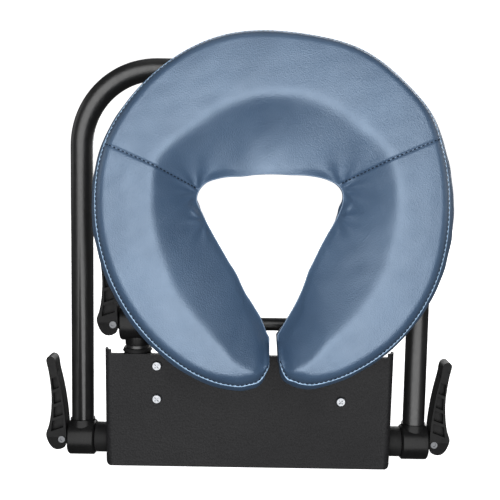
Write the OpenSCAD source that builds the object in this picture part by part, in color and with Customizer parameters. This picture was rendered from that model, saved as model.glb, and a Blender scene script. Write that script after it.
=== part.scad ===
// Folding tabletop face cradle: horseshoe cushion on a tilting platform, two sliding posts in a
// sheet-metal housing, and a bent-tube base loop that folds out behind it.
// +X is to the sitter's right, +Y points back over the folded-out base loop, +Z is up.
// The origin is the middle of the housing's bottom face.

/* [Layout] */
// Distance between the two post axes
post_spacing = 220; // [214:1:226]
// Height of the tilt axis above the base
tilt_height = 142; // [140:1:150]
// How far the cushion head leans back from upright, in degrees
head_lean = 11.5; // [8:0.5:12]
// How far the folded base loop leans back from upright, in degrees
loop_lean = 3.2; // [3:0.1:5]

/* [Housing] */
// Width of the sheet-metal housing
housing_w = 280; // [270:1:284]
// Height of the front plate
housing_h = 114; // [108:1:116]
// Depth of the housing
housing_d = 50; // [48:1:60]
// Thickness of the steel sheet
sheet_t = 2; // [1.5:0.5:2.5]
// Outer radius of the front corner bends
bend_r = 6; // [4:1:8]
// How far the side flanges rise above the front plate
ear_rise = 4; // [2:1:5]

/* [Base loop] */
// Diameter of the bent tube
tube_d = 22; // [20:1:24]
// Distance between the two legs of the loop
leg_spacing = 336; // [334:1:340]
// Length from the fold axis to the middle of the crossbar
loop_reach = 368.5; // [360:0.5:380]
// Centreline radius of the two bends
loop_bend_r = 75; // [60:1:90]
// Height of the fold axis above the base
fold_height = 17.8; // [17.8:0.1:24]

/* [Hubs and levers] */
// Diameter of the hub barrels
hub_d = 35; // [34:1:36]
// Length of each tilt hub along its axis
tilt_hub_l = 32; // [30:1:34]
// Length of each fold hub along its axis
fold_hub_l = 27; // [26:1:28]
// Distance from a hub's outer end to its lever pin
pin_reach = 6; // [5.8:0.1:6.4]
// Thickness of a cam lever, front to back
lever_t = 20; // [18:1:22]

/* [Cushion] */
// Outer radius of the horseshoe cushion
cushion_r = 164; // [158:1:168]
// Thickness of the cushion at its crest
cushion_t = 64; // [55:1:70]
// How far the cushion sits to the right of the platform's middle
cushion_shift = 17; // [0:1:18]
// How far the cushion is turned on the platform, in degrees
cushion_turn = 1; // [-3:0.5:3]
// Height of the cushion's centre above the tilt axis
cushion_up = 104.5; // [100:0.5:112]
// Half the gap between the two lobes
lobe_gap = 5; // [4:0.5:8]
// Thickness of the vinyl cover
cover_t = 1.2; // [1:0.1:2]

/* [Platform] */
// Thickness of the platform board
platform_t = 8; // [6:1:10]
// Distance from the tilt axis to the platform's back face
platform_off = 34; // [33:1:40]
// Outer radius of the platform
platform_r = 140; // [130:1:145]

/* [Hidden] */
$fn = 64;
eps = 0.01;

// Fits
run_gap = 0.05;     // radial clearance of a running fit
face_gap = 0.3;     // gap between faces that move past each other

ring_top = 117.5;           // flared bushing around each post, above the plate's top edge

// Housing, worked out from the middle of its bottom face
half_w = housing_w / 2;
front_y = -housing_d / 2;
back_y = housing_d / 2;
post_x = post_spacing / 2;
post_y = front_y + 15;      // the posts stand close behind the front plate
fold_y = 4.5;               // the fold axis lies further back, clear of the levers
lip_d = 3.5;                // rolled top edge of the front plate
lip_r = 3;
corner_r = 5;               // rounded lower corners
screw_x = 89.5;
screw_z = [69.5, 102.7];

// Tubes
tube_wall = 1.5;            // posts
loop_wall = 2;
tube_r = tube_d / 2;
post_low = 14;              // lower end of the posts at rest
neck_r = 11.9;
neck_low = tilt_height - 21.5;

// Hubs
hub_r = hub_d / 2;
bolt_r = 3;
recess_r = 16.2;            // round recess that the lever's cheeks swing into
recess_d = 6.6;
boss_r = 6.1;               // centre boss that the cam presses on
boss_d = 1.9;
leg_x = leg_spacing / 2;
fold_end = leg_x + fold_hub_l / 2;
tilt_end = post_x + tilt_hub_l / 2;
collar_r = 12.4;
collar_top = 19.6;
tube_start = 8.5;           // a tube's end inside its hub, from the hub's axis

// Brackets
bracket_t = 3;
disc_t = 3.2;
bracket_out = post_x - tilt_hub_l / 2 - face_gap - disc_t;
cross_r = 6.4;

// Lever outline around its pin: outboard is +x, the handle points up
lever_edge = [
    [-4.4, 1], [-4.1, 12], [-2.8, 28], [-0.6, 45], [2, 59], [4.6, 71], [5.8, 79.6],
    [7.6, 83.2], [10.6, 84.6], [13.6, 83.8], [15, 80.2], [12.9, 70], [11, 57], [10, 42],
    [10.9, 26], [13, 14], [15.3, 7.4], [15.6, 2.8], [13.2, -5.4], [9.5, -10.5], [4.7, -12],
    [-0.3, -10.5], [-3.4, -7.2]
];
// Four pockets in the lever's front face, lowest first: [inner bottom, outer bottom, outer top, inner top]
lever_pockets = [
    [[-1.6, 12.2], [10.8, 7.8], [9.3, 18.6], [-1.4, 22]],
    [[-1.2, 25.2], [8.4, 21.6], [7.9, 32.6], [-0.2, 35.6]],
    [[0.2, 38.8], [7.8, 35.6], [8.2, 47.4], [1.9, 49.8]],
    [[2.5, 53], [8.7, 50.2], [9.9, 62], [4.9, 64.4]]
];
pocket_d = 5;
pin_r = 2.5;
cam_r = 6.2;
cam_shift = 1.4;
cheek_in = 6.4;             // inner face of the cheeks, from the lever's middle
eye_t = 6;

// Cushion section: share of the way from inner to outer edge, then depth from the back
crest_share = 0.44;
seam_depth = 40;
ring_count = 60;

// Points on a closed smooth curve through a list of points
function wrap(p, i) = p[(i + len(p)) % len(p)];
function spline_point(p, i, t) =
    let (a = wrap(p, i - 1), b = wrap(p, i), c = wrap(p, i + 1), d = wrap(p, i + 2))
    0.5 * (2 * b + (c - a) * t + (2 * a - 5 * b + 4 * c - d) * t * t
        + (3 * b - a - 3 * c + d) * t * t * t);
function smooth_loop(p, steps) = [
    for (i = [0:len(p) - 1], k = [0:steps - 1]) spline_point(p, i, k / steps)
];

// ---- placing helpers ----

// Head coordinates: the tilt axis is the X axis, +Z runs up the leaning head
module in_head() {
    translate([0, post_y, tilt_height]) rotate([-head_lean, 0, 0]) children();
}

// Loop coordinates: the fold axis is the X axis, +Z runs up the leaning legs
module in_loop() {
    translate([0, fold_y, fold_height]) rotate([-loop_lean, 0, 0]) children();
}

module along_x(x0, x1, r) {
    translate([x0, 0, 0]) rotate([0, 90, 0]) cylinder(h = x1 - x0, r = r);
}

module side(right) {
    mirror([right ? 0 : 1, 0, 0]) children();
}

// ---- cushion ----

// Distance from the cushion's centre to the face opening, at an angle from the lobes' gap
opening_edge = [
    [0, 112], [4.5, 109], [9, 92], [19, 75], [31, 66], [48, 60.5], [70, 58], [88, 60],
    [100, 65], [108, 63.5], [120, 53.5], [140, 42], [160, 35], [180, 32.5]
];
function edge_radius(a) = lookup(a, opening_edge);
function gap_angle() = asin(lobe_gap / 118);
// Outer edge, drawn in at the lobes' ends
function outer_radius(a) = cushion_r - 24 * pow(max(0, 1 - (a - gap_angle()) / 10), 2);

function section(ri, ro, t, inset) =
    let (rc = ri + crest_share * (ro - ri), s = inset, k = t / 64)
    [
        [ri + 3 + s, 0], [ri + s, 22 * k], [ri + 1.5 + s, 32 * k], [ri + 8 + s, 42 * k - s],
        [rc - 11, 60.5 * k - s], [rc, t - s], [rc + 11, 62 * k - s],
        [ro - 17, 53 * k - s], [ro - 3 - s, seam_depth * k - s], [ro - s, 28 * k],
        [ro - s, 12 * k], [ro - 5 - s, 0]
    ];

// Ring angles run from the gap round to the gap again
function ring_angle(i, inset) =
    let (a0 = gap_angle() + inset * 0.5) a0 + (360 - 2 * a0) * i / ring_count;
function ring(i, inset) =
    let (a = ring_angle(i, inset), b = min(a, 360 - a))
    [
        for (q = section(edge_radius(b), outer_radius(b), cushion_t, inset))
            [q[0] * sin(a), -q[1], -q[0] * cos(a)]
    ];

function ring_points(inset) = [for (i = [0:ring_count]) each ring(i, inset)];
// Faces along a sweep of n points a ring; the last of them closes the back when closed is 1
function side_faces(n, first, closed) = [
    for (i = [0:ring_count - 1], j = [0:n - 2 + closed]) each
        let (a = first + i * n + j, b = first + i * n + (j + 1) % n, c = a + n, d = b + n)
        [[a, c, d], [a, d, b]]
];
function end_faces(n, first) = [
    [for (j = [0:n - 1]) first + j],
    [for (j = [0:n - 1]) first + ring_count * n + n - 1 - j]
];
function inside_out(faces) = [for (f = faces) [for (i = [len(f) - 1:-1:0]) f[i]]];
// Flat rim at the back between the outer skin and the inner one
function rim_faces(n, m) = concat(
    [
        for (i = [0:ring_count - 1]) each let (a = i * n, b = a + n)
            [[a, m + a, m + b], [a, m + b, b]]
    ],
    [
        for (i = [0:ring_count - 1]) each let (a = i * n + n - 1, b = a + n)
            [[a, b, m + b], [a, m + b, m + a]]
    ],
    let (e = n - 1, f = ring_count * n, g = f + n - 1)
    [[0, e, m + e], [0, m + e, m], [f, m + f, m + g], [f, m + g, g]]
);

module cushion_body(inset) {
    n = len(ring(0, 0));
    polyhedron(
        points = ring_points(inset),
        faces = concat(side_faces(n, 0, 1), end_faces(n, 0)),
        convexity = 6
    );
}

// Skin that is open at the back, where the backing closes it
module cushion_skin(thick) {
    n = len(ring(0, 0));
    outer = ring_points(0);
    m = len(outer);
    polyhedron(
        points = concat(outer, ring_points(thick)),
        faces = concat(
            side_faces(n, 0, 0), end_faces(n, 0),
            inside_out(side_faces(n, m, 0)), inside_out(end_faces(n, m)),
            rim_faces(n, m)
        ),
        convexity = 8
    );
}

back_face = platform_off + platform_t;
hook_t = 1.2;
loop_t = 1.2;

module in_cushion() {
    in_head()
        translate([cushion_shift, -back_face - hook_t - loop_t, cushion_up])
            rotate([0, -cushion_turn, 0]) children();
}

module cushion_cover() {
    color("steelblue") in_cushion() cushion_skin(cover_t);
}

module foam_core() {
    color("lightyellow") in_cushion() cushion_body(cover_t + 0.1);
}

// Crescent outline in the head's plane: x across, y up the head
module crescent(outer, top, side_w, slot, waist, low) {
    difference() {
        circle(r = outer, $fn = 96);
        polygon([
            [-slot, -outer - 1], [-slot, low], [-side_w * waist, -52], [-side_w, 2],
            [-side_w * 0.95, 24], [-side_w * 0.76, top], [side_w * 0.76, top],
            [side_w * 0.95, 24], [side_w, 2], [side_w * waist, -52], [slot, low],
            [slot, -outer - 1]
        ]);
    }
}

// Lays a flat outline on a plane of the head, growing forwards
module on_head(depth, thick) {
    in_head() translate([0, -depth, cushion_up]) rotate([90, 0, 0])
        linear_extrude(thick) children();
}

module loop_backing() {
    color("slategray") in_head()
        translate([cushion_shift, -back_face - hook_t, cushion_up])
            rotate([0, -cushion_turn, 0]) rotate([90, 0, 0])
                linear_extrude(loop_t) crescent(150, 46, 80, 16, 0.66, -106);
}

module hook_strips() {
    color("dimgray") on_head(back_face, hook_t) {
        translate([0, 90]) square([130, 38], center = true);
        for (s = [-1, 1]) translate([s * 113, -16]) square([26, 74], center = true);
    }
}

// ---- platform ----

foot_up = [14, 62];         // the bracket foot's two screws, up the head from the tilt axis
foot_x = bracket_out - 14;
screw_r = 2;

module head_platform() {
    color("dimgray") difference() {
        on_head(platform_off, platform_t) crescent(platform_r, 58, 97, 52, 0.72, -78);
        in_head() for (s = [-1, 1], h = foot_up)
            translate([s * foot_x, -platform_off - 6, h]) rotate([-90, 0, 0])
                cylinder(h = 20, r = screw_r);
    }
}

module platform_bracket(right) {
    foot_t = 3;
    web_in = bracket_out - bracket_t;
    color("black") in_head() side(right) difference() {
        union() {
            along_x(web_in, bracket_out, 16);
            translate([web_in, 0, 0]) rotate([90, 0, 90]) linear_extrude(bracket_t)
                polygon([
                    [-platform_off, 4], [-platform_off, 72], [-platform_off + 9, 72],
                    [14, 7.7], [14, -7.7], [-12, -10.5]
                ]);
            translate([web_in - 20, -platform_off, 4]) cube([20 + eps, foot_t, 68]);
        }
        along_x(web_in - 1, bracket_out + 1, bolt_r + run_gap);
        for (h = foot_up) translate([foot_x, -platform_off - 1, h]) rotate([-90, 0, 0])
            cylinder(h = foot_t + 2, r = screw_r + 0.2);
    }
}

module platform_screws() {
    head_r = 4;
    color("silver") in_head() for (s = [-1, 1], h = foot_up)
        translate([s * foot_x, -platform_off - 6, h]) rotate([-90, 0, 0]) difference() {
            union() {
                cylinder(h = 9 + eps, r = screw_r);
                translate([0, 0, 9]) cylinder(h = 2.4, r = head_r);
            }
            for (a = [0, 90]) rotate([0, 0, a]) translate([-2.3, -0.45, 10.2]) cube([4.6, 0.9, 2]);
        }
}

module cross_tube() {
    tube_end = bracket_out - bracket_t;
    color("black") in_head() difference() {
        along_x(-tube_end, tube_end, cross_r);
        for (s = [0, 1]) side(s) along_x(tube_end - 20, tube_end + 1, bolt_r);
    }
}

module tilt_disc(right) {
    color("gray") in_head() side(right) difference() {
        along_x(bracket_out, bracket_out + disc_t, 15);
        along_x(bracket_out - 1, bracket_out + disc_t + 1, bolt_r + run_gap);
    }
}

// ---- eye bolts, pins and cam levers ----

// Eye bolt along X with its eye at the lever's pin
module eye_bolt(start, pin_x) {
    difference() {
        union() {
            along_x(start, pin_x, bolt_r);
            translate([pin_x, eye_t / 2, 0]) rotate([90, 0, 0]) cylinder(h = eye_t, r = 5.4);
        }
        translate([pin_x, 10, 0]) rotate([90, 0, 0]) cylinder(h = 20, r = pin_r);
    }
}

// Cam pin along Y, held in the eye, with a hollow-ended head at the front
module cam_pin(pin_x, shift) {
    head_r = 3.4;
    front = -lever_t / 2 - shift;
    color("silver") translate([pin_x, 0, 0]) rotate([90, 0, 0]) difference() {
        union() {
            translate([0, 0, -lever_t / 2 + shift]) cylinder(h = lever_t, r = pin_r);
            translate([0, 0, -front + 0.1]) cylinder(h = 0.9, r = head_r);
            translate([0, 0, -front - 1]) cylinder(h = 1.2, r = pin_r);
        }
        translate([0, 0, -front + 0.3]) cylinder(h = 2, r = 1.4);
    }
}

// Cam lever around the pin at the origin, handle up, outboard to +x
module cam_lever(shift) {
    half_t = lever_t / 2;
    color("black") difference() {
        union() {
            difference() {
                translate([0, half_t - shift, 0]) rotate([90, 0, 0]) linear_extrude(lever_t)
                    polygon(smooth_loop(lever_edge, 4));
                translate([-20, -cheek_in, -20]) cube([50, 2 * cheek_in, 24]);
            }
            translate([-cam_shift, cheek_in, 0]) rotate([90, 0, 0])
                cylinder(h = 2 * cheek_in, r = cam_r);
        }
        // room for the eye and for the bolt while the lever swings
        rotate([90, 0, 0]) translate([0, 0, -eye_t / 2 - 0.25]) cylinder(h = eye_t + 0.5, r = 5.8);
        translate([-20, -eye_t / 2 - 0.25, -20]) cube([20, eye_t + 0.5, 24]);
        translate([-20, -eye_t / 2 - 0.25, -20]) cube([24, eye_t + 0.5, 20]);
        translate([0, 20, 0]) rotate([90, 0, 0]) cylinder(h = 40, r = pin_r + run_gap);
        for (p = lever_pockets)
            translate([0, -half_t - shift + pocket_d, 0]) rotate([90, 0, 0])
                linear_extrude(pocket_d + 1) polygon(p);
        // the tail narrows to swing into the hub's recess
        for (k = [0, 1]) translate([0, -shift, 2]) mirror([0, k, 0]) translate([-20, half_t, 0])
            rotate([-14, 0, 0]) translate([0, 0, -20]) cube([50, 8, 20]);
        // the handle thins towards its tip
        translate([-20, half_t - shift, 30]) rotate([2, 0, 0]) cube([50, 10, 70]);
    }
}

tilt_shift = 2;             // the tilt levers stand this far forward of their bolts
tilt_pin_x = tilt_end + pin_reach;
fold_pin_x = fold_end + pin_reach;

// The tilt levers stand upright while the head leans
module at_tilt_pin(right) {
    translate([0, post_y, tilt_height]) side(right) translate([tilt_pin_x, 0, 0]) children();
}

module tilt_bolt(right) {
    color("silver") in_head() rotate([head_lean, 0, 0])
        rotate([0, 0, right ? 0 : 180])
        eye_bolt(bracket_out - bracket_t - 20, tilt_pin_x);
}

module tilt_pin(right) {
    translate([0, post_y, tilt_height]) side(right) cam_pin(tilt_pin_x, tilt_shift);
}

module tilt_lever(right) {
    at_tilt_pin(right) cam_lever(tilt_shift);
}

module fold_bolt(right) {
    color("silver") in_loop() rotate([0, 0, right ? 0 : 180])
        eye_bolt(half_w - 12, fold_pin_x);
}

module fold_pin(right) {
    in_loop() side(right) cam_pin(fold_pin_x, 0);
}

module fold_lever(right) {
    in_loop() side(right) translate([fold_pin_x, 0, 0]) cam_lever(0);
}

// ---- hubs, posts and loop ----

// Round barrel along X with the recess for its cam lever at the outer end
module barrel(x0, x1) {
    chamfer = 1.5;
    difference() {
        union() {
            along_x(x0 + chamfer, x1 - chamfer, hub_r);
            along_x(x0, x1, hub_r - chamfer);
            translate([x0, 0, 0]) rotate([0, 90, 0])
                cylinder(h = chamfer, r1 = hub_r - chamfer, r2 = hub_r);
            translate([x1 - chamfer, 0, 0]) rotate([0, 90, 0])
                cylinder(h = chamfer, r1 = hub_r, r2 = hub_r - chamfer);
        }
        difference() {
            along_x(x1 - recess_d, x1 + 1, recess_r);
            along_x(x1 - recess_d - 1, x1 - boss_d, boss_r);
        }
    }
}

module tilt_hub(right) {
    drop = tilt_height - neck_low;
    color("black") translate([0, post_y, tilt_height]) side(right) difference() {
        union() {
            barrel(post_x - tilt_hub_l / 2, tilt_end);
            translate([post_x, 0, -drop]) cylinder(h = drop - 7, r = neck_r);
        }
        along_x(post_x - 30, tilt_end + 1, bolt_r + run_gap);
        translate([post_x, 0, -drop - 1]) cylinder(h = drop + 1 - tube_start, r = tube_r);
    }
}

module post(right) {
    top = tilt_height - tube_start;
    color("black") side(right) translate([post_x, post_y, post_low]) difference() {
        cylinder(h = top - post_low, r = tube_r);
        translate([0, 0, -1]) cylinder(h = top - post_low + 2, r = tube_r - tube_wall);
    }
}

module post_caps() {
    cap_t = 3;
    color("black") for (s = [0, 1]) side(s) translate([post_x, post_y, post_low]) {
        translate([0, 0, -cap_t]) cylinder(h = cap_t, r = tube_r - 0.2);
        translate([0, 0, -eps]) cylinder(h = 12, r = tube_r - tube_wall);
    }
}

module fold_hub(right) {
    color("black") in_loop() side(right) difference() {
        union() {
            barrel(leg_x - fold_hub_l / 2, fold_end);
            translate([leg_x, 0, 7]) cylinder(h = collar_top - 7, r = collar_r);
        }
        along_x(leg_x - 30, fold_end + 1, bolt_r);
        translate([leg_x, 0, tube_start]) cylinder(h = 30, r = tube_r);
    }
}

module base_loop() {
    straight = loop_reach - loop_bend_r;
    bar = leg_x - loop_bend_r;
    color("black") in_loop() {
        for (s = [0, 1]) side(s) {
            translate([leg_x, 0, tube_start]) tube(straight - tube_start);
            translate([bar, 0, straight]) rotate([90, 0, 0])
                rotate_extrude(angle = 90, $fn = 128) translate([loop_bend_r, 0]) ring_profile();
        }
        translate([-bar, 0, loop_reach]) rotate([0, 90, 0]) tube(2 * bar);
    }
}

module tube(length) {
    linear_extrude(length) ring_profile();
}

module ring_profile() {
    difference() {
        circle(r = tube_r);
        circle(r = tube_r - loop_wall);
    }
}

module fold_nuts() {
    color("silver") in_loop() for (s = [0, 1]) side(s) difference() {
        translate([half_w - sheet_t - face_gap - 6, 0, 0]) rotate([0, 90, 0])
            cylinder(h = 6, r = 5.8, $fn = 6);
        along_x(half_w - 30, half_w, bolt_r);
    }
}

module spacer(right) {
    color("black") translate([0, fold_y, fold_height]) side(right) difference() {
        along_x(half_w, leg_x - fold_hub_l / 2 - face_gap, 15);
        along_x(half_w - 1, leg_x, bolt_r + run_gap);
    }
}

// ---- housing ----

// Sheet seen from above: front plate and two side flanges with round bends
module channel_plan() {
    difference() {
        bent_rect(half_w, front_y, bend_r);
        bent_rect(half_w - sheet_t, front_y + sheet_t, bend_r - sheet_t);
        translate([-half_w, back_y]) square([housing_w, 10]);
    }
}

module bent_rect(w, y, r) {
    translate([-w, y + r]) square([2 * w, back_y - y - r + 1]);
    translate([-w + r, y]) square([2 * (w - r), r + 1]);
    for (s = [-1, 1]) translate([s * (w - r), y + r]) circle(r = r);
}

// Front plate seen from the side: top return lip and full-depth bottom flange
module plate_section() {
    translate([front_y, 0]) square([sheet_t, housing_h - lip_r]);
    translate([front_y + lip_r, housing_h - sheet_t]) square([lip_d - lip_r, sheet_t]);
    translate([front_y + lip_r, housing_h - lip_r]) intersection() {
        difference() {
            circle(r = lip_r);
            circle(r = lip_r - sheet_t);
        }
        translate([-lip_r, 0]) square(lip_r);
    }
    translate([front_y, 0]) square([housing_d, sheet_t]);
}

module housing() {
    ear_w = 6.4;
    ear_z = housing_h + ear_rise;
    ear_d = 9;
    flange_back = 84;       // height of the side flanges at the back
    color("black") difference() {
        union() {
            linear_extrude(ear_z) channel_plan();
            translate([-half_w + bend_r, 0, 0]) rotate([90, 0, 90])
                linear_extrude(housing_w - 2 * bend_r) plate_section();
            translate([-half_w + 1, front_y + bend_r, 0])
                cube([housing_w - 2, housing_d - bend_r, sheet_t]);
        }
        // the plate stops below the ears
        translate([-half_w + ear_w, front_y - 1, housing_h])
            cube([housing_w - 2 * ear_w, housing_d + 2, 20]);
        translate([-half_w + ear_w, front_y - 1, housing_h - lip_r])
            cube([housing_w - 2 * ear_w, lip_r * 0.2929, 20]);
        // sloping top of the side flanges
        translate([-half_w - 1, 0, 0]) rotate([90, 0, 90]) linear_extrude(housing_w + 2)
            polygon([
                [front_y + ear_d, ear_z + 1], [front_y + ear_d, ear_z],
                [back_y + 1, flange_back], [back_y + 1, ear_z + 1]
            ]);
        // rounded lower corners
        for (s = [0, 1]) side(s) translate([half_w - corner_r, 0, corner_r])
            rotate([90, 0, 0]) translate([0, 0, -40]) linear_extrude(80) difference() {
                translate([0, -corner_r - 1]) square(corner_r + 1);
                circle(r = corner_r);
            }
        for (s = [-1, 1], z = screw_z) translate([s * screw_x, front_y - 1, z])
            rotate([-90, 0, 0]) cylinder(h = sheet_t + 2, r = 2.1);
        for (s = [0, 1]) side(s) translate([0, fold_y, fold_height])
            along_x(half_w - 4, half_w + 1, bolt_r + run_gap);
    }
}

module guide_block(right) {
    low = 6;
    high = housing_h - 4;
    inner = front_y + sheet_t;
    flare_low = housing_h + face_gap;
    color("dimgray") side(right) difference() {
        union() {
            translate([0, 0, low]) linear_extrude(high - low) {
                difference() {
                    translate([post_x, post_y]) circle(r = 14);
                    translate([post_x - 20, inner - 10]) square([40, 10]);
                }
                translate([post_x - 14, inner]) square([28, post_y - inner]);
                translate([screw_x - 9, inner]) square([post_x - screw_x + 9, 16]);
            }
            // neck past the plate's rolled edge, then the flare above it
            translate([0, 0, high - 1]) linear_extrude(flare_low - high + 1.5) difference() {
                translate([post_x, post_y]) circle(r = 13);
                translate([post_x - 20, front_y - 10]) square([40, lip_d + 10.1]);
            }
            translate([post_x, post_y, flare_low])
                cylinder(h = ring_top - flare_low, r1 = 14.3, r2 = 12.9);
        }
        translate([post_x, post_y, low - 1]) cylinder(h = ring_top, r = tube_r + run_gap);
        for (z = screw_z) translate([screw_x, inner - 1, z]) rotate([-90, 0, 0])
            cylinder(h = 13.5, r = screw_r);
    }
}

module housing_screws() {
    head_r = 4.8;
    head_t = 2.4;
    color("silver") for (s = [-1, 1], z = screw_z) translate([s * screw_x, front_y, z])
        rotate([90, 0, 0]) difference() {
            union() {
                cylinder(h = head_t - 0.9, r = head_r);
                translate([0, 0, head_t - 0.9])
                    cylinder(h = 0.9, r1 = head_r, r2 = head_r - 0.9);
                translate([0, 0, -13]) cylinder(h = 13 + eps, r = screw_r);
            }
            for (a = [45, 135]) rotate([0, 0, a])
                translate([-2.7, -0.55, head_t - 1.4]) cube([5.4, 1.1, 2]);
        }
}

cushion_cover();
foam_core();
loop_backing();
hook_strips();
head_platform();
platform_bracket(false);  // platform_bracket_left
platform_bracket(true);  // platform_bracket_right
platform_screws();
cross_tube();
tilt_disc(false);  // tilt_disc_left
tilt_disc(true);  // tilt_disc_right
tilt_bolt(false);  // tilt_bolt_left
tilt_bolt(true);  // tilt_bolt_right
tilt_pin(false);  // tilt_pin_left
tilt_pin(true);  // tilt_pin_right
tilt_lever(false);  // tilt_lever_left
tilt_lever(true);  // tilt_lever_right
post(false);  // post_left
post(true);  // post_right
tilt_hub(false);  // tilt_hub_left
tilt_hub(true);  // tilt_hub_right
post_caps();
housing();
guide_block(false);  // guide_block_left
guide_block(true);  // guide_block_right
housing_screws();
spacer(false);  // spacer_left
spacer(true);  // spacer_right
base_loop();
fold_hub(false);  // fold_hub_left
fold_hub(true);  // fold_hub_right
fold_bolt(false);  // fold_bolt_left
fold_bolt(true);  // fold_bolt_right
fold_nuts();
fold_pin(false);  // fold_pin_left
fold_pin(true);  // fold_pin_right
fold_lever(false);  // fold_lever_left
fold_lever(true);  // fold_lever_right
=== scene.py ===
"""Face cradle cushion on its folding tabletop stand: the looks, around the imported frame."""
import math

import bmesh
import bpy
import numpy as np
from mathutils import Matrix, Vector


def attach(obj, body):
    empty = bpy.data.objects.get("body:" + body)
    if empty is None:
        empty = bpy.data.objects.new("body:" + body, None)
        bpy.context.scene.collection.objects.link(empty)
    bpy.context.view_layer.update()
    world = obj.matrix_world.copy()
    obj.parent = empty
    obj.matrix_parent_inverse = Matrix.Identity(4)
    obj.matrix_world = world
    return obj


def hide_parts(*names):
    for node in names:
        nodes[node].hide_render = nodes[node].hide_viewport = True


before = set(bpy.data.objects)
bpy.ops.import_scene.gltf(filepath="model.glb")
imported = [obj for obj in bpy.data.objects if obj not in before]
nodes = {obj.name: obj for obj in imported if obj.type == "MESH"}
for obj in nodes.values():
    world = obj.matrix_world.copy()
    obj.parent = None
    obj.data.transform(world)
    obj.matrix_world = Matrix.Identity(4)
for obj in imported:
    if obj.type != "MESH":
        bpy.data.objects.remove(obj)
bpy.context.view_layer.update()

MM = 0.001
# The head's tilt axis and its lean at rest, in mm and radians
POST_Y, TILT_Z = -10.0, 142.0
LEAN = math.radians(11.5)
# The cushion's centre on the head: across, and up from the tilt axis
SHIFT, UP = 17.0, 104.5


def head_point(x, s, h):
    """A point of the leaning head: x across, s forward of the tilt axis, h up the head, in mm."""
    return np.stack(
        [
            np.asarray(x, float) + 0 * np.asarray(s, float),
            POST_Y - s * math.cos(LEAN) + h * math.sin(LEAN),
            TILT_Z + s * math.sin(LEAN) + h * math.cos(LEAN),
        ],
        -1,
    ) * MM


def in_world(c):
    """Cushion coordinates u, v, s in mm to the frame's metres."""
    return head_point(c[:, 0] + SHIFT, c[:, 2], c[:, 1] + UP)


# ---------------------------------------------------------------- materials


def new_material(name):
    """A material with one Principled shader: the material, its node tree and the shader."""
    m = bpy.data.materials.new(name)
    m.use_nodes = True
    t = m.node_tree
    t.nodes.clear()
    out = t.nodes.new("ShaderNodeOutputMaterial")
    b = t.nodes.new("ShaderNodeBsdfPrincipled")
    t.links.new(b.outputs[0], out.inputs[0])
    return m, t, b


def node(t, kind, **values):
    """A new node; each value goes to the socket or the setting of that name."""
    n = t.nodes.new(kind)
    for k, v in values.items():
        if k in n.inputs:
            n.inputs[k].default_value = v
        else:
            setattr(n, k, v)
    return n


def position(t):
    """Object coordinates, so a pattern stays on its piece in every pose."""
    return node(t, "ShaderNodeTexCoord").outputs["Object"]


def noise(t, scale, detail=3.0, rough=0.5):
    """Cloudy pattern."""
    n = node(t, "ShaderNodeTexNoise", Scale=scale, Detail=detail, Roughness=rough)
    t.links.new(position(t), n.inputs["Vector"])
    return n.outputs["Fac"]


def cells(t, scale):
    """Pebbled pattern."""
    n = node(t, "ShaderNodeTexVoronoi", Scale=scale)
    n.feature = "F1"
    t.links.new(position(t), n.inputs["Vector"])
    return n.outputs["Distance"]


def ramp(t, fac, stops):
    """Colours from stops of position and (r, g, b)."""
    n = node(t, "ShaderNodeValToRGB")
    e = n.color_ramp.elements
    while len(e) < len(stops):
        e.new(0.5)
    for i, (p, c) in enumerate(stops):
        e[i].position = p
        e[i].color = (*c, 1)
    t.links.new(fac, n.inputs["Fac"])
    return n.outputs["Color"]


def remap(t, fac, low, high, to_low, to_high):
    """Stretches low to high onto to_low to to_high."""
    n = node(t, "ShaderNodeMapRange")
    for k, v in zip(("From Min", "From Max", "To Min", "To Max"), (low, high, to_low, to_high)):
        n.inputs[k].default_value = v
    t.links.new(fac, n.inputs["Value"])
    return n.outputs["Result"]


def bump(t, b, layers):
    """layers: (height output, strength, distance in metres)"""
    last = None
    for height, strength, distance in layers:
        n = node(t, "ShaderNodeBump", Strength=strength, Distance=distance)
        t.links.new(height, n.inputs["Height"])
        if last:
            t.links.new(last, n.inputs["Normal"])
        last = n.outputs["Normal"]
    t.links.new(last, b.inputs["Normal"])


def vinyl():
    """Blue upholstery vinyl: fine grain, broad unevenness and a bluish sheen."""
    m, t, b = new_material("vinyl")
    grain = cells(t, 900)
    fine = noise(t, 2600, 2)
    broad = noise(t, 18, 3, 0.55)
    t.links.new(
        ramp(t, broad, [(0.3, (0.029, 0.056, 0.102)), (0.7, (0.037, 0.070, 0.124))]),
        b.inputs["Base Color"],
    )
    t.links.new(remap(t, noise(t, 60, 4, 0.6), 0.3, 0.7, 0.36, 0.47), b.inputs["Roughness"])
    b.inputs["IOR"].default_value = 1.75
    b.inputs["Specular IOR Level"].default_value = 0.78
    b.inputs["Specular Tint"].default_value = (0.70, 0.84, 1.0, 1)
    bump(t, b, [(broad, 0.25, 0.0012), (grain, 0.38, 0.0004), (fine, 0.35, 0.0002)])
    return m


def bead():
    """The folded edge beside the perimeter seam: its lighter colour is a painted highlight along the seam."""
    m, t, b = new_material("vinyl_bead_painted_highlight")
    # painted highlight: a lighter blue than the vinyl, standing for the light the folded edge catches
    t.links.new(
        ramp(t, noise(t, 120, 3), [(0.3, (0.20, 0.31, 0.45)), (0.7, (0.29, 0.43, 0.60))]),
        b.inputs["Base Color"],
    )
    t.links.new(remap(t, noise(t, 500, 2), 0.3, 0.7, 0.28, 0.40), b.inputs["Roughness"])
    bump(t, b, [(noise(t, 900, 2), 0.3, 0.0002)])
    return m


def thread():
    """Dark sewing thread."""
    m, t, b = new_material("thread")
    t.links.new(
        ramp(t, noise(t, 900, 2), [(0.3, (0.005, 0.009, 0.017)), (0.7, (0.012, 0.019, 0.032))]),
        b.inputs["Base Color"],
    )
    b.inputs["Roughness"].default_value = 0.8
    b.inputs["Specular IOR Level"].default_value = 0.15
    bump(t, b, [(noise(t, 3000, 2), 0.4, 0.0002)])
    return m


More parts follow.
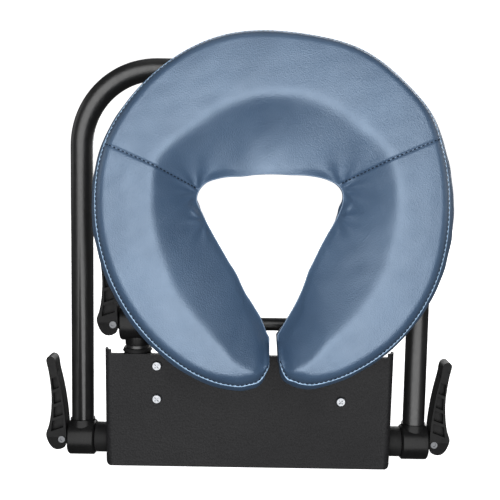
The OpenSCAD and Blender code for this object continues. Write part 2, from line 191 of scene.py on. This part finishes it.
def powder_coat(name="powder_coat", low=0.003, high=0.016, rough=0.5, grit=420, deep=0.0004):
    """Gritty matt coating; low and high are the greys of its specks."""
    m, t, b = new_material(name)
    speck = noise(t, grit * 2.2, 3, 0.7)
    broad = noise(t, 14, 4, 0.6)
    c = ramp(t, speck, [(0.36, (low, low, low * 1.06)), (0.62, (high, high, high * 1.08))])
    t.links.new(c, b.inputs["Base Color"])
    t.links.new(remap(t, broad, 0.3, 0.7, rough - 0.06, rough + 0.08), b.inputs["Roughness"])
    b.inputs["Specular IOR Level"].default_value = 0.14
    bump(t, b, [(cells(t, grit), 0.6, deep), (speck, 0.5, deep * 0.5)])
    return m


def satin_black(name="satin_black", level=0.005, rough=0.34):
    """Smooth enamel on the tubes."""
    m, t, b = new_material(name)
    broad = noise(t, 30, 4, 0.6)
    t.links.new(
        ramp(t, broad, [(0.3, (level, level, level * 1.08)), (0.7, (level * 1.5,) * 3)]),
        b.inputs["Base Color"],
    )
    t.links.new(remap(t, noise(t, 260, 4, 0.65), 0.3, 0.7, rough - 0.05, rough + 0.09), b.inputs["Roughness"])
    b.inputs["Specular IOR Level"].default_value = 0.62
    bump(t, b, [(noise(t, 700, 3, 0.6), 0.22, 0.0003), (noise(t, 90, 2), 0.1, 0.0006)])
    return m


def moulded(name="moulded", level=0.006, rough=0.46, grain=1500, gloss=0.1):
    """Moulded black plastic or rubber."""
    m, t, b = new_material(name)
    broad = noise(t, 45, 4, 0.6)
    t.links.new(
        ramp(t, broad, [(0.3, (level, level, level * 1.05)), (0.75, (level * 1.7,) * 3)]),
        b.inputs["Base Color"],
    )
    t.links.new(remap(t, noise(t, 400, 3, 0.6), 0.3, 0.7, rough - 0.05, rough + 0.08), b.inputs["Roughness"])
    b.inputs["Specular IOR Level"].default_value = gloss
    bump(t, b, [(cells(t, grain), 0.25, 0.00015), (broad, 0.1, 0.0006)])
    return m


def zinc(name, k):
    """Plated steel; k scales its brightness."""
    m, t, b = new_material(name)
    broad = noise(t, 300, 4, 0.6)
    shades = [(0.3, (0.30 * k, 0.31 * k, 0.33 * k)), (0.7, (0.44 * k, 0.45 * k, 0.47 * k))]
    t.links.new(ramp(t, broad, shades), b.inputs["Base Color"])
    b.inputs["Metallic"].default_value = 1.0
    t.links.new(remap(t, noise(t, 1500, 3, 0.6), 0.3, 0.7, 0.22, 0.38), b.inputs["Roughness"])
    bump(t, b, [(noise(t, 2500, 2), 0.12, 0.0001)])
    return m


def hook_tape():
    """Stiff hook side of the fastening."""
    m, t, b = new_material("hook_tape")
    t.links.new(
        ramp(t, cells(t, 700), [(0.1, (0.05, 0.05, 0.05)), (0.6, (0.008, 0.008, 0.008))]),
        b.inputs["Base Color"],
    )
    b.inputs["Roughness"].default_value = 0.85
    bump(t, b, [(cells(t, 700), 0.9, 0.0008)])
    return m


def loop_fabric():
    """Napped loop side of the fastening."""
    m, t, b = new_material("loop_fabric")
    fibre = noise(t, 1400, 6, 0.75)
    t.links.new(
        ramp(t, fibre, [(0.3, (0.012, 0.012, 0.014)), (0.7, (0.05, 0.05, 0.055))]), b.inputs["Base Color"]
    )
    b.inputs["Roughness"].default_value = 0.95
    b.inputs["Sheen Weight"].default_value = 0.5
    bump(t, b, [(fibre, 0.9, 0.0009), (noise(t, 160, 4), 0.4, 0.001)])
    return m


MAT = {
    "vinyl": vinyl(),
    "thread": thread(),
    "bead": bead(),
    "coat": powder_coat(),
    "tube": satin_black(),
    "tube_fine": satin_black("satin_black_fine", 0.006, 0.33),
    "lever": moulded(),
    "hub": moulded("hub_gloss", 0.004, 0.3, 1200, 0.16),
    "matte": moulded("hub_matte", 0.007, 0.5, 1200),
    "board": powder_coat("board", 0.012, 0.028, 0.6, 260, 0.0005),
    "rubber": moulded("rubber", 0.02, 0.8, 900),
    "zinc": zinc("zinc", 0.72),
    "pin": zinc("pin_steel", 0.22),
    "hook": hook_tape(),
    "loop": loop_fabric(),
}

# ---------------------------------------------------------------- cushion


def hermite(x, start, stop, m0, m1):
    """The cubic from start to stop for x from 0 to 1, with slope m0 at its start and m1 at its end."""
    return (
        (2 * x**3 - 3 * x**2 + 1) * start
        + (x**3 - 2 * x**2 + x) * m0
        + (-2 * x**3 + 3 * x**2) * stop
        + (x**3 - x**2) * m1
    )


def around(angles, values, q):
    """Smooth closed interpolation of values given at angles in degrees."""
    a = np.array(angles, float)
    v = np.array(values, float)
    a3 = np.concatenate([a - 360, a, a + 360])
    v3 = np.concatenate([v, v, v])
    q = np.asarray(q, float) % 360
    i = np.clip(np.searchsorted(a3, q, side="right") - 1, 1, len(a3) - 3)
    h = a3[i + 1] - a3[i]
    x = (q - a3[i]) / h
    m0 = (v3[i + 1] - v3[i - 1]) / (a3[i + 1] - a3[i - 1]) * h
    m1 = (v3[i + 2] - v3[i]) / (a3[i + 2] - a3[i]) * h
    return hermite(x, v3[i], v3[i + 1], m0, m1)


def open_curve(angles, values, q):
    """Smooth interpolation that doesn't wrap, for the edges that meet at the gap."""
    a = np.array(angles, float)
    v = np.array(values, float)
    q = np.asarray(q, float)
    i = np.clip(np.searchsorted(a, q, side="right") - 1, 0, len(a) - 2)
    h = a[i + 1] - a[i]
    x = np.clip((q - a[i]) / h, 0, 1)
    slope = np.gradient(v, a)
    m0, m1 = slope[i] * h, slope[i + 1] * h
    return hermite(x, v[i], v[i + 1], m0, m1)


# Angles run from the gap at the bottom, up the right side, over the top and down the left side
GAP_R, GAP_L = 3.9, 359.7
# Perimeter seam of the top panel: angles in degrees, then radii in mm
EDGE = (
    [GAP_R, 5, 8.5, 13, 20, 30, 45, 65, 90, 110, 122, 135, 150, 170, 200, 230, 250, 270, 285, 305, 325, 338,
     347, 353, 357.5, GAP_L],
    [133, 142, 149, 152.5, 154, 154.5, 154.5, 153.5, 153, 157.5, 162, 161.5, 161.5, 157, 159, 157, 156.5,
     153, 151, 150.5, 152.5, 154.5, 154, 151.5, 146, 136],
)
# Edge of the face opening
HOLE = (
    [GAP_R, 7, 10, 16, 24, 32, 40, 50, 68, 85, 100, 108, 113, 118, 133, 150, 170, 186, 205, 222, 238, 248,
     254, 262, 274, 288, 304, 320, 334, 343, 350.5, 356, GAP_L],
    [112, 103.5, 97, 86.5, 75, 66, 61.5, 58, 57.2, 62.2, 68.3, 69, 66.5, 62.5, 50.3, 41, 36.8, 36.5, 39.3, 45,
     57.5, 66.3, 69, 69.5, 63, 58.5, 57.4, 60.6, 67.6, 78, 88, 100, 115],
)
# Ridge where the front slopes into the opening
RIDGE = (
    [0, 12, 18, 24, 38, 54, 70, 84, 106, 118, 132, 152, 176, 193, 217, 236, 248, 263, 292, 311,
     328, 341, 348],
    [143, 138, 131, 124, 117.5, 111.5, 109, 108, 110, 110, 103, 101, 98, 97, 95.5, 101, 107, 104, 103, 109,
     116, 127, 137],
)
# How far the seam, the opening's rim, the ridge and the back stand forward of the tilt axis
SEAM_S, RIM_S, CREST_S, BACK_S = 87.0, 71.0, 106.0, 44.6
# Both radial seams, as the angles of their inner and outer ends
SEAM_IN, SEAM_OUT = (112.2, 254.5), (113.4, 249.8)
# Rings between the gap and the seams, and cells from the opening to the perimeter
RINGS, CELLS = (90, 120, 90), 72

# The next three lists hold millimetres at these angles round the cushion
ROUND = [0, 45, 90, 135, 180, 225, 270, 315]
# The panel rolls this far into the opening
RIM_ROLL = [0.8, 2, 2.8, 2.4, 1.8, 2.6, 1.2, 1.2]
# Added to the radius of the seam round the lower half
SEAM_SHIFT = [3, 3, 1.5, 0, 0, 0, 1, 3]
# How far the side swells beyond the seam
SIDE_BULGE = [7.5, 7, 10.5, 7.2, 6.5, 7, 8, 7.5]

# Where the top of the cushion lies, in degrees, and how widely it blends into the sides
TOP_ANGLE, TOP_SPREAD = 185, 52
# The ridge falls at the two ends, the rim at the top, and the outer band towards the seam
END_FALL, TOP_FALL, BAND_FALL = 8, 9, 5.5
# Width of the rolled edge outside and inside the ridge, and at the two ends
ROLL_OUT, ROLL_IN, ROLL_END = 9.5, 6.0, 13.0
# Centre, height, spread and phase of the puckers at the corners of the opening
PUCKERS = [
    (62, 20, 1.3, 24, 0.3),
    (-66, 15, 1.3, 24, 1.2),
    (57, -4, 1.1, 17, 2.0),
    (-59, -10, 1.1, 17, 0.7),
]
# The side wall, row by row: share of the way down, share of the bulge, extra outward, extra forward
SIDE_ROWS = [
    (0.0, 0.0, 0.45, 0.5),
    (0.0, 0.0, 0.8, -0.4),
    (0.02, 0.02, 0.2, -1.0),
    (0.045, 0.10, -0.1, 0),
    (0.10, 0.30, 0, 0),
    (0.18, 0.52, 0, 0),
    (0.28, 0.74, 0, 0),
    (0.40, 0.91, 0, 0),
    (0.52, 1.0, 0, 0),
    (0.64, 0.97, 0, 0),
    (0.75, 0.84, 0, 0),
    (0.85, 0.62, 0, 0),
    (0.93, 0.36, 0, 0),
    (0.98, 0.10, 0, 0),
    (1.0, -0.15, -1.0, 0),
]


def ring_angles():
    """Inner and outer angle of every ring, and which two rings follow the radial seams."""
    knots_in = [GAP_R, *SEAM_IN, GAP_L]
    knots_out = [GAP_R, *SEAM_OUT, GAP_L]
    inner, outer, seams = [], [], []
    for k, n in enumerate(RINGS):
        x = np.linspace(0, 1, n + 1)
        # rings crowd towards each seam and each end
        x = 0.5 - 0.5 * np.cos(np.pi * x)
        x = 0.62 * x + 0.38 * np.linspace(0, 1, n + 1)
        if k:
            seams.append(len(inner))
        inner.append(knots_in[k])
        outer.append(knots_out[k])
        # the next stretch adds its own first ring, so only the last one keeps its end
        x = x[1:] if k == 2 else x[1:-1]
        inner += list(knots_in[k] + (knots_in[k + 1] - knots_in[k]) * x)
        outer += list(knots_out[k] + (knots_out[k + 1] - knots_out[k]) * x)
    return np.array(inner), np.array(outer), seams


def smooth(values, width):
    """Blurs along the last axis by a few samples."""
    k = np.exp(-0.5 * (np.arange(-3 * width, 3 * width + 1) / width) ** 2)
    k /= k.sum()
    margins = [(0, 0)] * (values.ndim - 1) + [(3 * width, 3 * width)]
    pad = np.pad(values, margins, mode="reflect", reflect_type="odd")
    return np.apply_along_axis(lambda r: np.convolve(r, k, mode="valid"), -1, pad)


def wave(u, v, seed, size):
    """Smooth seeded unevenness made of a few plane waves."""
    rng = np.random.default_rng(seed)
    total = 0.0 * u
    for _ in range(9):
        a = rng.uniform(0, 2 * np.pi)
        f = rng.uniform(0.6, 1.7) * 2 * np.pi / size
        total = total + np.sin(f * (u * np.cos(a) + v * np.sin(a)) + rng.uniform(0, 2 * np.pi))
    return total / 9


def polar(angles, radii):
    """Points at these angles in degrees, counted from the gap, and these radii."""
    a = np.radians(angles)
    return np.stack([radii * np.sin(a), -radii * np.cos(a)], -1)


def angle_at(u, v):
    """Angle of a point in degrees, counted from the gap."""
    return np.degrees(np.arctan2(u, -v)) % 360


def walked(path):
    """Distance walked along a path at each of its points."""
    return np.concatenate([[0], np.cumsum(np.linalg.norm(np.diff(path, axis=0), axis=1))])


def distance(points, starts, ends):
    """Distance from each point to the nearest of the straight pieces from starts to ends."""
    best = np.full(len(points), 1e9)
    for start, end in zip(starts, ends):
        d = end - start
        w = np.clip(((points - start) @ d) / max(1e-9, d @ d), 0, 1)
        q = points - (start + w[:, None] * d)
        best = np.minimum(best, np.hypot(q[:, 0], q[:, 1]))
    return best


def panel_grid(ain, aout):
    """Steps t from the opening to the seam, both edges, and the panel's points u, v ring by ring."""
    even = np.linspace(0, 1, CELLS + 1)
    t = 0.5 - 0.5 * np.cos(np.pi * even)
    t = 0.45 * t + 0.55 * even
    rin = open_curve(*HOLE, ain) - around(ROUND, RIM_ROLL, ain)
    from_end = np.clip(np.minimum(aout - GAP_R, GAP_L - aout) / 9, 0, 1)
    rout = open_curve(*EDGE, aout) + from_end * around(ROUND, SEAM_SHIFT, aout)
    pin, pout = polar(ain, rin), polar(aout, rout)
    uv = pin[:, None, :] * (1 - t)[None, :, None] + pout[:, None, :] * t[None, :, None]
    return t, pin, pout, uv


def crowned(t, uv, ain, aout):
    """Heights of the panel: an outer band, a ridge and a slope into the opening.

    Also gives the rim's height, where each ring crosses the ridge, and how far it is from the ends.
    """
    u, v = uv[..., 0], uv[..., 1]
    past_ridge = np.hypot(u, v) - around(*RIDGE, angle_at(u, v))
    ridge_t = np.array([np.interp(0, row, t) for row in past_ridge])
    ridge_t = np.clip(ridge_t, 0.12, 0.93)[:, None]
    tt = t[None, :]
    inner = np.clip((ridge_t - tt) / ridge_t, 0, 1)
    outer = np.clip((tt - ridge_t) / (1 - ridge_t), 0, 1)
    middle = (0.5 * (ain + aout))[:, None]
    top = np.exp(-(((middle - TOP_ANGLE) / TOP_SPREAD) ** 2))
    end = np.minimum((ain - GAP_R)[:, None] / 16, (GAP_L - ain)[:, None] / 16).clip(0, 1)
    crest = CREST_S - END_FALL * (1 - end) ** 2
    rim = RIM_S - TOP_FALL * top
    # the slope is nearly straight at the sides and rounder at the top
    straight = inner * (0.86 + 0.14 * inner)
    slope = (1 - top) * straight + top * (1 - (1 - inner) ** 1.55)
    s = crest - (crest - rim - 1.0) * slope
    s = np.where(tt > ridge_t, crest - BAND_FALL * (0.45 * outer + 0.55 * outer**2), s)
    return smooth(s, 2), rim, ridge_t, end


def rolled(s, t, pin, pout, uv, rim, ridge_t, end):
    """Turns the panel's edges down; also gives 0 on an edge to 1 where the roll ends."""
    tt = t[None, :]
    edge = rim + (SEAM_S - rim) * np.clip((tt - 0.25) / 0.6, 0, 1)
    bound = np.concatenate([pout, uv[-1, ::-1], pin[::-1], uv[0]])[::2]
    away = distance(uv.reshape(-1, 2), bound, np.roll(bound, -1, 0)).reshape(s.shape)
    away[0] = away[-1] = away[:, 0] = away[:, -1] = 0
    width = np.where(tt > ridge_t, ROLL_OUT, ROLL_IN) * np.ones(s.shape)
    width = np.where(end < 1, np.maximum(width, ROLL_END - 3 * end), width)
    x = np.clip(away / width, 0, 1)
    return edge + (s - edge) * np.sqrt(np.clip(1 - (1 - x) ** 2, 0, 1)), x


def stuffed(s, x, uv, seams):
    """Adds the stuffing's unevenness, the puckers and the dips along the radial seams."""
    u, v = uv[..., 0], uv[..., 1]
    s = s + 0.55 * wave(u, v, 4, 70) * x + 0.25 * wave(u, v, 9, 28) * x
    for cu, cv, amp, spread, phase in PUCKERS:
        du, dv = u - cu, v - cv
        dist = np.hypot(du, dv)
        fan = np.sin(8 * np.arctan2(dv, du) + phase)
        s = s + amp * fan * np.exp(-((dist / spread) ** 2)) * np.clip(dist / 9, 0, 1) * x
    for k in seams:
        line = uv[k]
        d = distance(uv.reshape(-1, 2), line[:-1:3], line[3::3]).reshape(s.shape)
        stitched = 1.7 * np.exp(-((d / 1.0) ** 2)) * np.clip(x * 2, 0, 1)
        s = s - stitched - 0.5 * np.exp(-((d / 5) ** 2)) * x
    return s


def outward(ring):
    """Unit vectors that point out of the closed outline, smoothed round its corners."""
    nxt, prv = np.roll(ring, -1, 0), np.roll(ring, 1, 0)
    tan = nxt[:, :2] - prv[:, :2]
    tan /= np.maximum(1e-9, np.linalg.norm(tan, axis=1))[:, None]
    out = np.stack([tan[:, 1], -tan[:, 0]], -1)
    if 0.5 * np.sum(ring[:, 0] * nxt[:, 1] - nxt[:, 0] * ring[:, 1]) < 0:
        out = -out
    for _ in range(3):
        out = out + 0.5 * (np.roll(out, 1, 0) + np.roll(out, -1, 0))
        out /= np.linalg.norm(out, axis=1)[:, None]
    return out


def from_gap(ring, n):
    """0 on the two end faces to 1 beyond 24 mm from them, walking round the outline."""
    walk = walked(ring[:, :2])
    total = walk[-1] + np.linalg.norm(ring[0, :2] - ring[-1, :2])
    away = np.full(len(ring), 1e9)
    for first, last in ((n - 1, n + CELLS - 1), (2 * n + CELLS - 2, len(ring) - 1)):
        for corner in (first, last):
            d = np.abs(walk - walk[corner])
            away = np.minimum(away, np.minimum(d, total - d))
        away[first : last + 1] = 0
    return np.clip(away / 24, 0, 1)


def side_wall(ring, n):
    """Rows of points from the panel's outline down to the back."""
    out = outward(ring)
    away = from_gap(ring, n)
    angle = angle_at(ring[:, 0], ring[:, 1])
    is_out = np.clip((np.hypot(ring[:, 0], ring[:, 1]) - 118) / 22, 0, 1)
    bulge = around(ROUND, SIDE_BULGE, angle) * is_out - 1.5 * (1 - is_out)
    # the two ends face each other across the gap and stay flat
    bulge = 1.2 + (bulge - 1.2) * away * away * (3 - 2 * away)
    # the inner wall is tucked back, but crumples into the opening below its two upper corners
    crumple = np.exp(-(((angle - 92) / 13) ** 2)) + 0.8 * np.exp(-(((angle - 267) / 10) ** 2))
    tuck = (3.2 - 3.6 * crumple) * (1 - is_out) * away
    fold = 3.2 * crumple * (1 - is_out) * (1 + 0.25 * np.sin(ring[:, 1] * 0.30))
    tug = 1 + 0.10 * wave(ring[:, 0], ring[:, 1], 21, 26)
    rows = []
    for down, share, extra, forward in SIDE_ROWS:
        off = share * bulge * tug + extra - tuck * down
        off = off + fold * np.exp(-(((down - 0.22) / 0.12) ** 2))
        row = np.empty((len(ring), 3))
        row[:, :2] = ring[:, :2] + out * off[:, None]
        row[:, 2] = ring[:, 2] + (BACK_S - ring[:, 2]) * down + forward
        rows.append(row)
    return rows


def outline_cells(n):
    """Grid positions of the panel's outline, in the order in which it is walked."""
    return (
        [(i, CELLS) for i in range(n)]
        + [(n - 1, j) for j in range(CELLS - 1, 0, -1)]
        + [(i, 0) for i in range(n - 1, -1, -1)]
        + [(0, j) for j in range(1, CELLS)]
    )


def back_panel(co, last, t, n):
    """Closes the back with strips between the two long edges of its outline."""
    at = np.full((n, CELLS + 1), -1)
    for place, k in zip(outline_cells(n), last):
        at[place] = k
    cols = [0] + list(range(6, CELLS - 5, 6)) + [CELLS]
    points, faces = [], []
    for i in range(n):
        for j in cols[1:-1]:
            if at[i, j] < 0:
                inside, outside = co[at[i, 0]], co[at[i, CELLS]]
                at[i, j] = len(co) + len(points)
                points.append(inside + (outside - inside) * t[j])
    for i in range(n - 1):
        for c0, c1 in zip(cols[:-1], cols[1:]):
            # the end rings keep every point of the end face
            low = [at[i, j] for j in (range(c0, c1 + 1) if i == 0 else (c0, c1))]
            high = [at[i + 1, j] for j in (range(c0, c1 + 1) if i + 1 == n - 1 else (c0, c1))]
            faces.append(tuple(low + high[::-1])[::-1])
    return np.array(points), faces


def cushion_mesh():
    """The closed cushion: its points and faces, and the panel's grid, heights and radial seams."""
    ain, aout, seams = ring_angles()
    n = len(ain)
    t, pin, pout, uv = panel_grid(ain, aout)
    s, rim, ridge_t, end = crowned(t, uv, ain, aout)
    s, x = rolled(s, t, pin, pout, uv, rim, ridge_t, end)
    s = stuffed(s, x, uv, seams)
    verts = [np.stack([uv[..., 0], uv[..., 1], s], -1).reshape(-1, 3)]
    idx = np.arange(n * (CELLS + 1)).reshape(n, CELLS + 1)
    faces = [
        (idx[i, j], idx[i, j + 1], idx[i + 1, j + 1], idx[i + 1, j])
        for i in range(n - 1)
        for j in range(CELLS)
    ]
    last = np.array([idx[place] for place in outline_cells(n)])
    count, around_it = len(verts[0]), len(last)
    for row in side_wall(verts[0][last], n):
        verts.append(row)
        cur = np.arange(count, count + around_it)
        count += around_it
        for k in range(around_it):
            k2 = (k + 1) % around_it
            faces.append((last[k], cur[k], cur[k2], last[k2]))
        last = cur
    points, back_faces = back_panel(np.concatenate(verts), last, t, n)
    return np.concatenate(verts + [points]), faces + back_faces, uv, s, seams


def build(name, co, faces):
    """A smooth-shaded object from points in metres and faces."""
    me = bpy.data.meshes.new(name)
    me.from_pydata([tuple(p) for p in co], [], [tuple(int(i) for i in f) for f in faces])
    me.validate()
    me.update()
    bm = bmesh.new()
    bm.from_mesh(me)
    bmesh.ops.recalc_face_normals(bm, faces=bm.faces)
    bm.to_mesh(me)
    bm.free()
    me.polygons.foreach_set("use_smooth", [True] * len(me.polygons))
    o = bpy.data.objects.new(name, me)
    bpy.context.scene.collection.objects.link(o)
    return o


co, faces, uv, top_s, seams = cushion_mesh()
cushion = build("cushion", in_world(co), faces)
cushion.data.materials.append(MAT["vinyl"])
sub = cushion.modifiers.new("sub", "SUBSURF")
sub.levels = sub.render_levels = 1
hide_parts("cushion_cover", "foam_core")
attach(cushion, "head")

# ---------------------------------------------------------------- thread and seam bead

# Stitches: pitch, length, how far in from the perimeter seam, and the thread's radius, in mm
PITCH, STITCH, STITCH_IN, THREAD_R = 4.1, 2.9, 2.6, 0.68
# Each stitch sinks into the vinyl at its two ends
STITCH_ARCH = np.array([-0.35, 0.15, 0.3, 0.15, -0.35])
# The bead's radius, and how far outward and forward of the seam it lies
BEAD_R, BEAD_OUT, BEAD_UP = 0.85, 0.55, 0.35


def tube(path, radius, sides):
    """A thin tube along a path of points in cushion coordinates: u, v, s in mm."""
    path = np.asarray(path)
    d = np.gradient(path, axis=0)
    d /= np.maximum(1e-9, np.linalg.norm(d, axis=1))[:, None]
    a = np.cross(d, (0, 0, 1.0))
    a /= np.maximum(1e-9, np.linalg.norm(a, axis=1))[:, None]
    b = np.cross(a, d)
    ang = 2 * np.pi * np.arange(sides) / sides
    r = np.full(len(path), radius)
    r[0] = r[-1] = radius * 0.45
    ring = path[:, None, :] + r[:, None, None] * (
        a[:, None, :] * np.cos(ang)[None, :, None] + b[:, None, :] * np.sin(ang)[None, :, None]
    )
    k = len(path)
    f = [
        (i * sides + j, i * sides + (j + 1) % sides, (i + 1) * sides + (j + 1) % sides, (i + 1) * sides + j)
        for i in range(k - 1)
        for j in range(sides)
    ]
    f.append(tuple(range(sides))[::-1])
    f.append(tuple((k - 1) * sides + j for j in range(sides)))
    return ring.reshape(-1, 3), f


def along(path, pitch, length, start=2.0):
    """Cuts a path into short dashes."""
    path = np.asarray(path)
    walk = walked(path)
    dashes = []
    at = start
    while at + length < walk[-1] - start:
        q = np.linspace(at, at + length, 5)
        dashes.append(np.stack([np.interp(q, walk, path[:, k]) for k in range(3)], -1))
        at += pitch
    return dashes


def join(parts):
    """Several meshes as one list of points and faces."""
    co_all, f_all, base = [], [], 0
    for c, f in parts:
        co_all.append(c)
        f_all += [tuple(i + base for i in q) for q in f]
        base += len(c)
    return np.concatenate(co_all), f_all


def panel_line(i, j):
    """The panel's points along a ring, or along its outer edge, as u, v, s."""
    return np.stack([uv[i, j, 0], uv[i, j, 1], top_s[i, j]], -1)


def inset(i, far):
    """The point on ring i that lies this far in from the outer seam, measured along the panel."""
    line = panel_line(i, slice(None, None, -1))
    walk = walked(line)
    return np.array([np.interp(far, walk, line[:, k]) for k in range(3)])


def stitch_mesh():
    """Dashes beside the perimeter seam and along both radial seams."""
    rows = []
    for first, last in zip([0] + seams, seams + [len(uv) - 1]):
        rows += along([inset(i, STITCH_IN) for i in range(first, last + 1)], PITCH, STITCH)
    for k in seams:
        rows += along(panel_line(k, slice(None)), PITCH, STITCH, 4.0)
    for dash in rows:
        dash[:, 2] += STITCH_ARCH
    return join([tube(dash, THREAD_R, 6) for dash in rows])


def bead_mesh():
    """The folded edge that runs along the perimeter seam."""
    line = panel_line(slice(None), -1)
    radial = line[:, :2] / np.linalg.norm(line[:, :2], axis=1)[:, None]
    line[:, :2] += BEAD_OUT * radial
    line[:, 2] += BEAD_UP
    return tube(line, BEAD_R, 8)


co_t, f_t = stitch_mesh()
stitches = build("stitching", in_world(co_t), f_t)
stitches.data.materials.append(MAT["thread"])
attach(stitches, "head")

co_b, f_b = bead_mesh()
piping = build("seam_bead", in_world(co_b), f_b)
# the bead's lighter material is a painted highlight along the perimeter seam
piping.data.materials.append(MAT["bead"])
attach(piping, "head")

# ---------------------------------------------------------------- carried-over CAD nodes

# Each node's material and the width of its bevel in mm
LOOKS = {
    "loop_backing": ("loop", 0), "hook_strips": ("hook", 0), "head_platform": ("board", 0.9),
    "platform_bracket_left": ("coat", 0.4), "platform_bracket_right": ("coat", 0.4),
    "platform_screws": ("zinc", 0.2), "cross_tube": ("tube", 0.3),
    "tilt_disc_left": ("rubber", 0.3), "tilt_disc_right": ("rubber", 0.3),
    "tilt_bolt_left": ("zinc", 0.2), "tilt_bolt_right": ("zinc", 0.2),
    "tilt_pin_left": ("pin", 0.25), "tilt_pin_right": ("pin", 0.25),
    "tilt_lever_left": ("lever", 0.7), "tilt_lever_right": ("lever", 0.7),
    "post_left": ("tube_fine", 0.2), "post_right": ("tube_fine", 0.2),
    "tilt_hub_left": ("hub", 0.5), "tilt_hub_right": ("hub", 0.5), "post_caps": ("matte", 0.4),
    "housing": ("coat", 0.5), "guide_block_left": ("matte", 0.6), "guide_block_right": ("matte", 0.6),
    "housing_screws": ("zinc", 0.2), "spacer_left": ("matte", 0.5), "spacer_right": ("matte", 0.5),
    "base_loop": ("tube", 0), "fold_hub_left": ("hub", 0.5), "fold_hub_right": ("hub", 0.5),
    "fold_bolt_left": ("zinc", 0.2), "fold_bolt_right": ("zinc", 0.2), "fold_nuts": ("zinc", 0.3),
    "fold_pin_left": ("pin", 0.25), "fold_pin_right": ("pin", 0.25),
    "fold_lever_left": ("lever", 0.7), "fold_lever_right": ("lever", 0.7),
}
for name, (look, width) in LOOKS.items():
    o = nodes[name]
    o.data.materials.clear()
    o.data.materials.append(MAT[look])
    weld = o.modifiers.new("weld", "WELD")
    weld.merge_threshold = 1e-6
    if width:
        bev = o.modifiers.new("bevel", "BEVEL")
        bev.width = width * MM
        bev.segments = 2
        bev.limit_method = "ANGLE"
        bev.angle_limit = math.radians(38)
        bev.use_clamp_overlap = True
        bev.harden_normals = False

# ---------------------------------------------------------------- stage, light, camera

# The floor lies this far under the object, in metres
FLOOR_GAP = 0.0006


def stage_mesh():
    """A pale floor that curves up into a round backdrop on every side."""
    profile = [
        (0.01, 0), (2.6, 0), (3.1, 0.08), (3.5, 0.3), (3.8, 0.7),
        (4, 1.4), (4, 4.2), (3.4, 5.4), (2, 6.2), (0.01, 6.5),
    ]
    turns = 64
    v = [
        (
            r * math.cos(2 * math.pi * k / turns),
            r * math.sin(2 * math.pi * k / turns),
            z - FLOOR_GAP,
        )
        for r, z in profile
        for k in range(turns)
    ]
    f = [
        (
            i * turns + k,
            i * turns + (k + 1) % turns,
            (i + 1) * turns + (k + 1) % turns,
            (i + 1) * turns + k,
        )
        for i in range(len(profile) - 1)
        for k in range(turns)
    ]
    o = build("sweep", np.array(v), f)
    m, t, b = new_material("sweep")
    shades = [(0.2, (0.90, 0.90, 0.90)), (0.8, (0.93, 0.93, 0.93))]
    t.links.new(ramp(t, noise(t, 1.5, 2), shades), b.inputs["Base Color"])
    b.inputs["Roughness"].default_value = 0.9
    b.inputs["Specular IOR Level"].default_value = 0.1
    b.inputs["Emission Color"].default_value = (1, 1, 1, 1)
    b.inputs["Emission Strength"].default_value = 1.0
    o.data.materials.append(m)
    # the sweep is only a clean background: it lends the object no light of its own
    o.visible_diffuse = o.visible_glossy = o.visible_shadow = False
    return o


stage_mesh()


def area(name, loc, target, size, power, size_y=None):
    """A soft white light at loc that faces target."""
    li = bpy.data.lights.new(name, "AREA")
    li.energy = power
    li.size = size
    if size_y:
        li.shape = "RECTANGLE"
        li.size_y = size_y
    o = bpy.data.objects.new(name, li)
    o.location = loc
    o.rotation_mode = "QUATERNION"
    o.rotation_quaternion = (Vector(target) - Vector(loc)).to_track_quat("-Z", "Y")
    bpy.context.scene.collection.objects.link(o)


area("key", (-0.04, -1.40, 0.34), (0.0, -0.12, 0.26), 2.4, 60, 2.3)
area("top", (0.0, 0.1, 1.7), (0, 0.0, 0.1), 1.2, 2)
area("back", (0.35, 1.7, 0.75), (0, 0.0, 0.2), 1.8, 24, 1.4)
area("side_left", (-1.9, 0.45, 0.7), (0, 0.0, 0.2), 1.1, 3)
area("side_right", (1.9, 0.45, 0.7), (0, 0.0, 0.2), 1.1, 3)

w = bpy.data.worlds.new("world")
bpy.context.scene.world = w
w.use_nodes = True
bg = w.node_tree.nodes["Background"]
bg.inputs["Color"].default_value = (1, 1, 1, 1)
bg.inputs["Strength"].default_value = 0.07

vs = bpy.context.scene.view_settings
vs.view_transform = "Standard"
vs.look = "None"
vs.exposure = 0.0

cam_data = bpy.data.cameras.new("camera")
cam_data.sensor_width = 36
cam_data.lens = 57.8
cam_data.clip_start, cam_data.clip_end = 0.01, 50
cam = bpy.data.objects.new("camera", cam_data)
bpy.context.scene.collection.objects.link(cam)
# The camera looks down, a touch to the right, and is turned slightly about its own axis
EYE = (-0.004, -0.774, 0.336)
down, yaw, turn = math.radians(9.0), math.radians(-0.2), math.radians(1.0)
spin = Matrix.Rotation(yaw, 3, "Z")
ahead = spin @ Vector((0, math.cos(down), -math.sin(down)))
side = spin @ Vector((1, 0, 0))
over = side.cross(ahead)
right = side * math.cos(turn) + over * math.sin(turn)
above = right.cross(ahead)
facing = Matrix((right, above, -ahead)).transposed().to_4x4()
cam.matrix_world = Matrix.Translation(EYE) @ facing
bpy.context.scene.camera = cam
